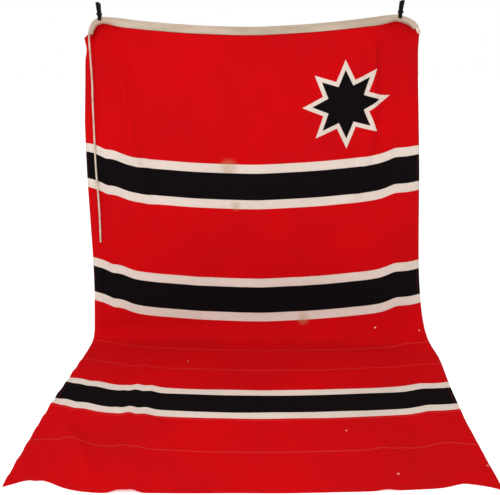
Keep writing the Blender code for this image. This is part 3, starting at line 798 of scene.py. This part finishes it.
grid, flat_places = bunting_grid(sheet_columns())
flag = grid_mesh("bunting_flag", grid, closed=False)
lay_places(flag, flat_places)
hem_group = flag.vertex_groups.new(name="hem")
for index, share in enumerate(hem_share(flat_places).ravel()):
    hem_group.add([index], float(share), "REPLACE")
thicken(flag, HEM_THICKNESS, offset=1.0, thick_group="hem", share=BUNTING / HEM_THICKNESS,
        second_finish=1)
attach(flag, "root")
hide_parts("flag_cloth")
print("bunting:", len(flag.data.polygons), "faces on one side")

# %% [markdown]
# The print is drawn in the cloth's flat places: a red ground, three crosswise bars in white,
# black and white, and an eight-pointed star near the heading. Dye on coarse bunting has slightly
# ragged edges, so a fine noise pushes each edge about by under a millimetre. The star is one
# eighth of a turn folded onto itself, with a straight edge from tip to notch.

# %% Print and weave of the bunting
RED = (0.495, 0.0022, 0.0038, 1.0)
RED_FADED = (0.425, 0.0028, 0.0046, 1.0)
INK_BLACK = (0.0045, 0.0034, 0.0038, 1.0)
WHITE = (0.62, 0.535, 0.475, 1.0)
WHITE_GREY = (0.55, 0.475, 0.41, 1.0)
STAIN = (0.36, 0.22, 0.10, 1.0)
THREADBARE = (0.66, 0.36, 0.30, 1.0)
BAR_PLACES = (0.70, 1.22, 1.95)
BAR_HALF = 0.100
BAR_BLACK_HALF = 0.060
STAR_PLACE = (0.42, 0.36)
STAR_TIP = 0.150
STAR_NOTCH = 0.085
STAR_POINTS = 8
STAR_RIM = 0.018
EDGE_SOFT = 0.0006
RAGGED = 0.0016
STAIN_PLACES = ((-0.11, 0.618, 0.030), (-0.085, 0.785, 0.018), (0.20, 1.315, 0.020))
WORN_PLACES = ((0.525, 1.385, 0.0040), (0.722, 1.440, 0.0030), (0.322, 2.135, 0.0032),
               (0.452, 2.380, 0.0038), (0.742, 2.345, 0.0030), (-0.30, 1.62, 0.0026))
THREAD = 0.0013
CREASES = (1.505, 1.688, 2.060, 2.250)
CREASE_WIDTH = 0.0022
CREASE_WANDER = 0.012
CREASE_FADE = 0.04
STAIN_STRENGTH = 0.45
SHOW_THROUGH = 0.97
THREAD_RELIEF = 0.35
MOTTLE_RELIEF = 0.8
CREASE_RELIEF = 0.5


def star_edge(finish, u, s):
    """Signed distance from the star's edge, under 0 inside it."""
    du = finish.sum("SUBTRACT", u, STAR_PLACE[0])
    ds = finish.sum("SUBTRACT", s, STAR_PLACE[1])
    radius = finish.sum("SQRT", finish.sum("ADD", finish.sum("MULTIPLY", du, du),
                                           finish.sum("MULTIPLY", ds, ds)))
    sector = 2.0 * math.pi / STAR_POINTS
    angle = finish.sum("ARCTAN2", du, ds)
    folded = finish.sum("PINGPONG", finish.sum("ADD", angle, 2.0 * math.pi), sector / 2)
    tip = np.array((STAR_TIP, 0.0))
    notch = STAR_NOTCH * np.array((math.cos(sector / 2), math.sin(sector / 2)))
    run = (notch - tip) / np.linalg.norm(notch - tip)
    facing = np.array((run[1], -run[0]))
    heading = math.atan2(facing[1], facing[0])
    reach = float(facing @ tip)
    aside = finish.sum("COSINE", finish.sum("SUBTRACT", folded, heading))
    return finish.sum("SUBTRACT", finish.sum("MULTIPLY", radius, aside), reach)


def spots(finish, u, s, places, ragged, soft):
    """1 inside any of the round places, with an uneven rim."""
    found = None
    for centre_u, centre_s, radius in places:
        du = finish.sum("SUBTRACT", u, centre_u)
        ds = finish.sum("SUBTRACT", s, centre_s)
        far = finish.sum("SQRT", finish.sum("ADD", finish.sum("MULTIPLY", du, du),
                                            finish.sum("MULTIPLY", ds, ds)))
        far = finish.sum("ADD", far, finish.sum("MULTIPLY", ragged, radius))
        inside = finish.below(far, radius, radius * soft)
        found = inside if found is None else finish.sum("MAXIMUM", found, inside)
    return found


def crease_lines(finish, u, s, wander):
    """Narrow crosswise lines where the flag lay folded, broken up by a slow noise."""
    bent = finish.sum("ADD", s, finish.sum("MULTIPLY", wander, CREASE_WANDER))
    found = None
    for place in CREASES:
        away = finish.sum("ABSOLUTE", finish.sum("SUBTRACT", bent, place))
        line = finish.below(away, CREASE_WIDTH, CREASE_WIDTH)
        found = line if found is None else finish.sum("MAXIMUM", found, line)
    return found


def bunting_finish(name, strength):
    """strength is 1 on the printed side and less where the dye only shows through."""
    finish = Finish(name, roughness=0.95, gloss=0.02)
    places, u, s = finish.places(FLAT)
    ragged = finish.sum("SUBTRACT", finish.noise(places, 420.0, 2.0), 0.5)
    slow = finish.noise(places, 3.2, 3.0)
    wander = finish.sum("SUBTRACT", finish.noise(places, 5.0, 2.0), 0.5)
    mottle = finish.noise(places, 46.0, 4.0)
    streak = finish.noise(places, 60.0, 3.0, stretch=(1.0, 0.05, 1.0))

    red_tone = finish.sum("ADD", slow, finish.sum("MULTIPLY", streak, 0.3))
    red = finish.mix(finish.step(red_tone, 0.35, 0.95), RED_FADED, RED)
    white_tone = finish.sum("ADD", slow, finish.sum("MULTIPLY", mottle, 0.5))
    white = finish.mix(finish.step(white_tone, 0.45, 0.95), WHITE_GREY, WHITE)
    push = finish.sum("MULTIPLY", ragged, RAGGED)
    from_bar = None
    for place in BAR_PLACES:
        away = finish.sum("ABSOLUTE", finish.sum("SUBTRACT", s, place))
        from_bar = away if from_bar is None else finish.sum("MINIMUM", from_bar, away)
    from_bar = finish.sum("ADD", from_bar, push)
    from_star = finish.sum("ADD", star_edge(finish, u, s), push)
    is_white = finish.sum("MAXIMUM", finish.below(from_bar, BAR_HALF, EDGE_SOFT),
                          finish.below(from_star, STAR_RIM, EDGE_SOFT))
    is_black = finish.sum("MAXIMUM", finish.below(from_bar, BAR_BLACK_HALF, EDGE_SOFT),
                          finish.below(from_star, 0.0, EDGE_SOFT))
    cloth = finish.mix(is_white, red, white)
    stains = spots(finish, u, s, STAIN_PLACES, wander, 0.8)
    stained = finish.mix(finish.sum("MULTIPLY", stains, STAIN_STRENGTH), cloth, STAIN)
    inked = finish.mix(finish.sum("MULTIPLY", is_black, strength), stained, INK_BLACK)
    worn = finish.mix(spots(finish, u, s, WORN_PLACES, ragged, 0.3), inked, THREADBARE)

    creases = crease_lines(finish, u, s, wander)
    creased = finish.mix(finish.sum("MULTIPLY", creases, CREASE_FADE), worn, WHITE_GREY)
    threads = finish.weave(u, s, THREAD)
    height = finish.sum("ADD", finish.sum("MULTIPLY", threads, THREAD_RELIEF),
                        finish.sum("MULTIPLY", mottle, MOTTLE_RELIEF))
    height = finish.sum("ADD", height, finish.sum("MULTIPLY", creases, CREASE_RELIEF))
    finish.bump(height, 0.55, 0.0006)
    return finish.colour(creased)


flag.data.materials.append(bunting_finish("printed_bunting", 1.0))
flag.data.materials.append(bunting_finish("bunting_back", SHOW_THROUGH))
print("bars at", BAR_PLACES, "and a star of", STAR_POINTS, "points at", STAR_PLACE)

# %% [markdown]
# The heading is a strip of cream canvas, folded over the rope and sewn to both faces of the
# bunting. Its cross-section starts at the front hem, climbs, goes round the rope and comes down
# the back. It is one open sheet with its thickness added, so that both raw ends show the fold.

# %% Canvas heading
SLEEVE_STEPS = 20
PUCKER = (0.00016, 520.0)
HEADING_COLUMNS = 190


def canvas_profile():
    """The canvas's middle line: s, height off the bunting's middle, and its own flat place."""
    flat = CLOTH / 2 + CANVAS_CLEARANCE + CANVAS / 2
    spread = [HEM_SPREAD * float(ease(FLAT_FROM, HEADING_HEIGHT, s)) for s in HEM_ROWS]
    front = [(s, flat + out) for s, out in zip(HEM_ROWS, spread)] + [(FLAT_FROM, flat)]
    turn = np.linspace(SLEEVE_TURN, -SLEEVE_TURN, SLEEVE_STEPS + 1)
    over = [(TUNNEL_CENTRE - TUNNEL_RADIUS * math.cos(a), TUNNEL_RADIUS * math.sin(a))
            for a in turn]
    back = [(s, -height) for s, height in reversed(front)]
    profile = np.array(front + over + back)
    reach = np.concatenate(([0.0], np.cumsum(np.linalg.norm(np.diff(profile, axis=0), axis=1))))
    return profile, reach


def heading_grid(across):
    profile, reach = canvas_profile()
    height, turn = PUCKER
    rows, places = [], []
    for u in across:
        s, line, normal, _, _ = folded_line(u, finer=False)
        pucker = height * math.sin(turn * u)
        point = read_at(profile[:, 0], s, line)
        face = read_at(profile[:, 0], s, normal)
        rows.append(point + face * (CLOTH / 2 + profile[:, 1] + pucker)[:, None])
        places.append(np.stack([np.full_like(reach, u), reach], axis=1))
    return np.array(rows), np.array(places)


heading_rows, heading_places = heading_grid(np.linspace(HEADING_LEFT, HALF_WIDTH, HEADING_COLUMNS))
canvas_width = float(canvas_profile()[1][-1])
heading = grid_mesh("canvas_heading", heading_rows, closed=False)
lay_places(heading, heading_places)
thicken(heading, CANVAS, offset=0.0)
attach(heading, "root")
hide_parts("heading")
print("heading canvas is", round(canvas_width * 1000, 1), "mm wide when flat")

# %% [markdown]
# Canvas is heavier than bunting, so its weave is coarser. It has yellowed and darkened unevenly,
# and taken a little pink from the red dye beside it.

# %% Canvas finish
CANVAS_LIGHT = (0.485, 0.40, 0.315, 1.0)
CANVAS_DARK = (0.375, 0.305, 0.225, 1.0)
CANVAS_PINK = (0.49, 0.34, 0.27, 1.0)
CANVAS_THREAD = 0.0017


def canvas_finish():
    finish = Finish("cream_canvas", roughness=0.92, gloss=0.1)
    places, u, s = finish.places(FLAT)
    slow = finish.noise(places, 9.0, 3.0, stretch=(0.5, 2.0, 1.0))
    pink = finish.noise(places, 6.5, 2.0, stretch=(0.6, 1.0, 1.0))
    fine = finish.noise(places, 700.0, 2.0)
    base = finish.mix(finish.step(slow, 0.35, 0.70), CANVAS_DARK, CANVAS_LIGHT)
    blush = finish.sum("MULTIPLY", finish.step(pink, 0.52, 0.72), 0.55)
    tinted = finish.mix(blush, base, CANVAS_PINK)
    threads = finish.weave(u, s, CANVAS_THREAD)
    finish.bump(finish.sum("ADD", finish.sum("MULTIPLY", threads, 0.5), fine), 0.6, 0.0005)
    return finish.colour(tinted)


heading.data.materials.append(canvas_finish())
print("canvas thread", CANVAS_THREAD * 1000, "mm")

# %% [markdown]
# Sewing holds the heading and the hems. Each stitch is a small rounded bar of thread that lies
# on the cloth's face, and all the stitches of a run are joined in one mesh. Two runs cross the
# heading on each face, and one run follows the side and front hems.

# %% Stitches
STITCH = 0.0032
STITCH_GAP = 0.0012
STITCH_RADIUS = 0.00038
STITCH_SIDES = 5
HEADING_RUNS = (0.0165, 0.0325)
HEM_RUN = 0.0115
STITCH_PROFILE = ((0.0, 0.35), (0.22, 0.95), (0.78, 0.95), (1.0, 0.35))
STITCH_PROUD = 0.3
HEADING_RUN_INSET = 0.004
HEADING_RUN_POINTS = 150
HEM_RUN_FROM = HEADING_HEIGHT + 0.006
HEM_RUN_STEP = 0.003
HEM_RUN_POINTS = 260
CREAM_THREAD = (0.66, 0.56, 0.43, 1.0)
RED_THREAD = (0.42, 0.010, 0.012, 1.0)


def stitch_run(bars, start, stop, face):
    """Adds one stitch to the list as rings of points, low at its ends and proud in its middle."""
    ahead = stop - start
    side = np.cross(ahead, face)
    side /= np.linalg.norm(side)
    rings = []
    for share, size in STITCH_PROFILE:
        centre = start + ahead * share + face * STITCH_RADIUS * (size - 0.5)
        turn = np.linspace(0.0, 2.0 * math.pi, STITCH_SIDES, endpoint=False)
        ring = (centre + side * (np.cos(turn) * STITCH_RADIUS * size)[:, None]
                + face * (np.sin(turn) * STITCH_RADIUS * size)[:, None])
        rings.append(ring)
    bars.append(np.array(rings))


def sewn(line, faces, bars):
    """Stitches at even steps on a line of points whose cloth faces the way of its normals."""
    reach = np.concatenate(([0.0], np.cumsum(np.linalg.norm(np.diff(line, axis=0), axis=1))))
    starts = np.arange(STITCH_GAP, reach[-1] - STITCH, STITCH + STITCH_GAP)
    first = read_at(starts, reach, line)
    last = read_at(starts + STITCH, reach, line)
    face = read_at(starts, reach, faces)
    for low, high, up in zip(first, last, face):
        stitch_run(bars, low, high, up / np.linalg.norm(up))


def joined_bars(name, bars, paint):
    vertices, faces = [], []
    for bar in bars:
        faces.extend(grid_faces(*bar.shape[:2], closed=True, caps=True, base=len(vertices)))
        vertices.extend(bar.reshape(-1, 3).tolist())
    made = outward(mesh_object(name, vertices, faces))
    made.data.materials.append(paint)
    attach(made, "root")


def thread_finish(name, colour):
    finish = Finish(name, roughness=0.7, gloss=0.3)
    where = finish.object_places()
    twist = finish.noise(where, 2400.0, 1.0)
    finish.bump(twist, 0.4, 0.0001)
    tone = finish.noise(where, 30.0, 2.0)
    dark = tuple(0.72 * part for part in colour[:3]) + (1.0,)
    return finish.colour(finish.mix(tone, dark, colour))


def heading_line_at(wanted_s, proud):
    """The heading canvas's front or back face along one s, and the way it faces."""
    spread = HEM_SPREAD * float(ease(FLAT_FROM, HEADING_HEIGHT, wanted_s))
    out = CLOTH / 2 + CANVAS_CLEARANCE + CANVAS + spread + STITCH_RADIUS * STITCH_PROUD
    at = np.array([wanted_s])
    points, faces = [], []
    for u in np.linspace(HEADING_LEFT + HEADING_RUN_INSET, HALF_WIDTH - HEADING_RUN_INSET,
                         HEADING_RUN_POINTS):
        s, line, normal, _, _ = folded_line(u, finer=False)
        face = read_at(at, s, normal)[0]
        points.append(read_at(at, s, line)[0] + face * (CLOTH / 2 + proud * out))
        faces.append(face * proud)
    return np.array(points), np.array(faces)


def hem_lines():
    """The run of sewing along the left side, the front hem and the right side."""
    for u in (-HALF_WIDTH + HEM_RUN, HALF_WIDTH - HEM_RUN):
        s, line, normal, _, _ = folded_line(u)
        rows = np.arange(HEM_RUN_FROM, float(smooth_value(HEM_LINE, u)) - HEM_RUN, HEM_RUN_STEP)
        face = read_at(rows, s, normal)
        yield read_at(rows, s, line) + face * HEM_THICKNESS, face
    points, faces = [], []
    for u in np.linspace(-HALF_WIDTH + HEM_RUN, HALF_WIDTH - HEM_RUN, HEM_RUN_POINTS):
        s, line, normal, _, _ = folded_line(u)
        at = np.array([smooth_value(HEM_LINE, u) - HEM_RUN])
        face = read_at(at, s, normal)[0]
        points.append(read_at(at, s, line)[0] + face * HEM_THICKNESS)
        faces.append(face)
    yield np.array(points), np.array(faces)


heading_bars = []
for run in HEADING_RUNS:
    for proud in (1.0, -1.0):
        sewn(*heading_line_at(run, proud), heading_bars)
hem_bars = []
for line, faces in hem_lines():
    sewn(line, faces, hem_bars)
joined_bars("heading_sewing", heading_bars, thread_finish("cream_thread", CREAM_THREAD))
joined_bars("hem_sewing", hem_bars, thread_finish("red_thread", RED_THREAD))
print("stitches:", len(heading_bars), "in the heading,", len(hem_bars), "in the hems")

# %% [markdown]
# The two spring clips keep the frame's own solids. Moulded levers have softly rounded edges, so a
# narrow Bevel modifier rounds them, and their black plastic has a fine grain and faint scuffs.
# The wire and pin are brushed steel, and the jaw pads are dull rubber.

# %% Clip finishes
LEVER_ROUNDING = 0.0007
ROUNDING_SEGMENTS = 3
SHARP_ANGLE = math.radians(50.0)
MOULDING_BLACK = (0.0025, 0.0025, 0.0028, 1.0)
MOULDING_SCUFFED = (0.010, 0.010, 0.011, 1.0)
STEEL_DARK = (0.36, 0.36, 0.37, 1.0)
STEEL_LIGHT = (0.55, 0.55, 0.56, 1.0)
RUBBER_BLACK = (0.014, 0.014, 0.014, 1.0)
RUBBER_BLOOM = (0.040, 0.038, 0.036, 1.0)


def black_finish():
    finish = Finish("black_moulding", roughness=0.5, gloss=0.06)
    where = finish.object_places()
    grain = finish.noise(where, 1800.0, 2.0)
    scuffs = finish.step(finish.noise(where, 160.0, 4.0), 0.60, 0.75)
    finish.bump(grain, 0.25, 0.0002)
    finish.give(finish.shader.inputs["Roughness"],
                finish.sum("ADD", 0.45, finish.sum("MULTIPLY", scuffs, 0.2)))
    return finish.colour(finish.mix(finish.sum("MULTIPLY", scuffs, 0.6), MOULDING_BLACK,
                                    MOULDING_SCUFFED))


def steel_finish():
    finish = Finish("spring_steel", roughness=0.32, metallic=1.0)
    where = finish.object_places()
    drawn = finish.noise(where, 600.0, 2.0, stretch=(1.0, 6.0, 6.0))
    finish.bump(drawn, 0.15, 0.0001)
    return finish.colour(finish.mix(drawn, STEEL_DARK, STEEL_LIGHT))


def rubber_finish():
    finish = Finish("jaw_rubber", roughness=0.75)
    where = finish.object_places()
    bloom = finish.noise(where, 240.0, 3.0)
    finish.bump(finish.noise(where, 1400.0, 2.0), 0.3, 0.0002)
    return finish.colour(finish.mix(bloom, RUBBER_BLACK, RUBBER_BLOOM))


def repaint(node, paint):
    for slot in node.material_slots:
        slot.material = paint
    if not node.material_slots:
        node.data.materials.append(paint)


def round_edges(node, width):
    bevel = node.modifiers.new("rounded edges", "BEVEL")
    bevel.width = width
    bevel.segments = ROUNDING_SEGMENTS
    bevel.limit_method = "ANGLE"
    bevel.angle_limit = SHARP_ANGLE


black_paint, steel_paint, rubber_paint = black_finish(), steel_finish(), rubber_finish()
for side in ("left", "right"):
    for face in ("front", "back"):
        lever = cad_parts[f"clip_{side}_{face}_lever"]
        repaint(lever, black_paint)
        round_edges(lever, LEVER_ROUNDING)
        repaint(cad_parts[f"clip_{side}_{face}_pad"], rubber_paint)
    for steel in ("pin", "spring"):
        repaint(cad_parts[f"clip_{side}_{steel}"], steel_paint)
print("clips finished")
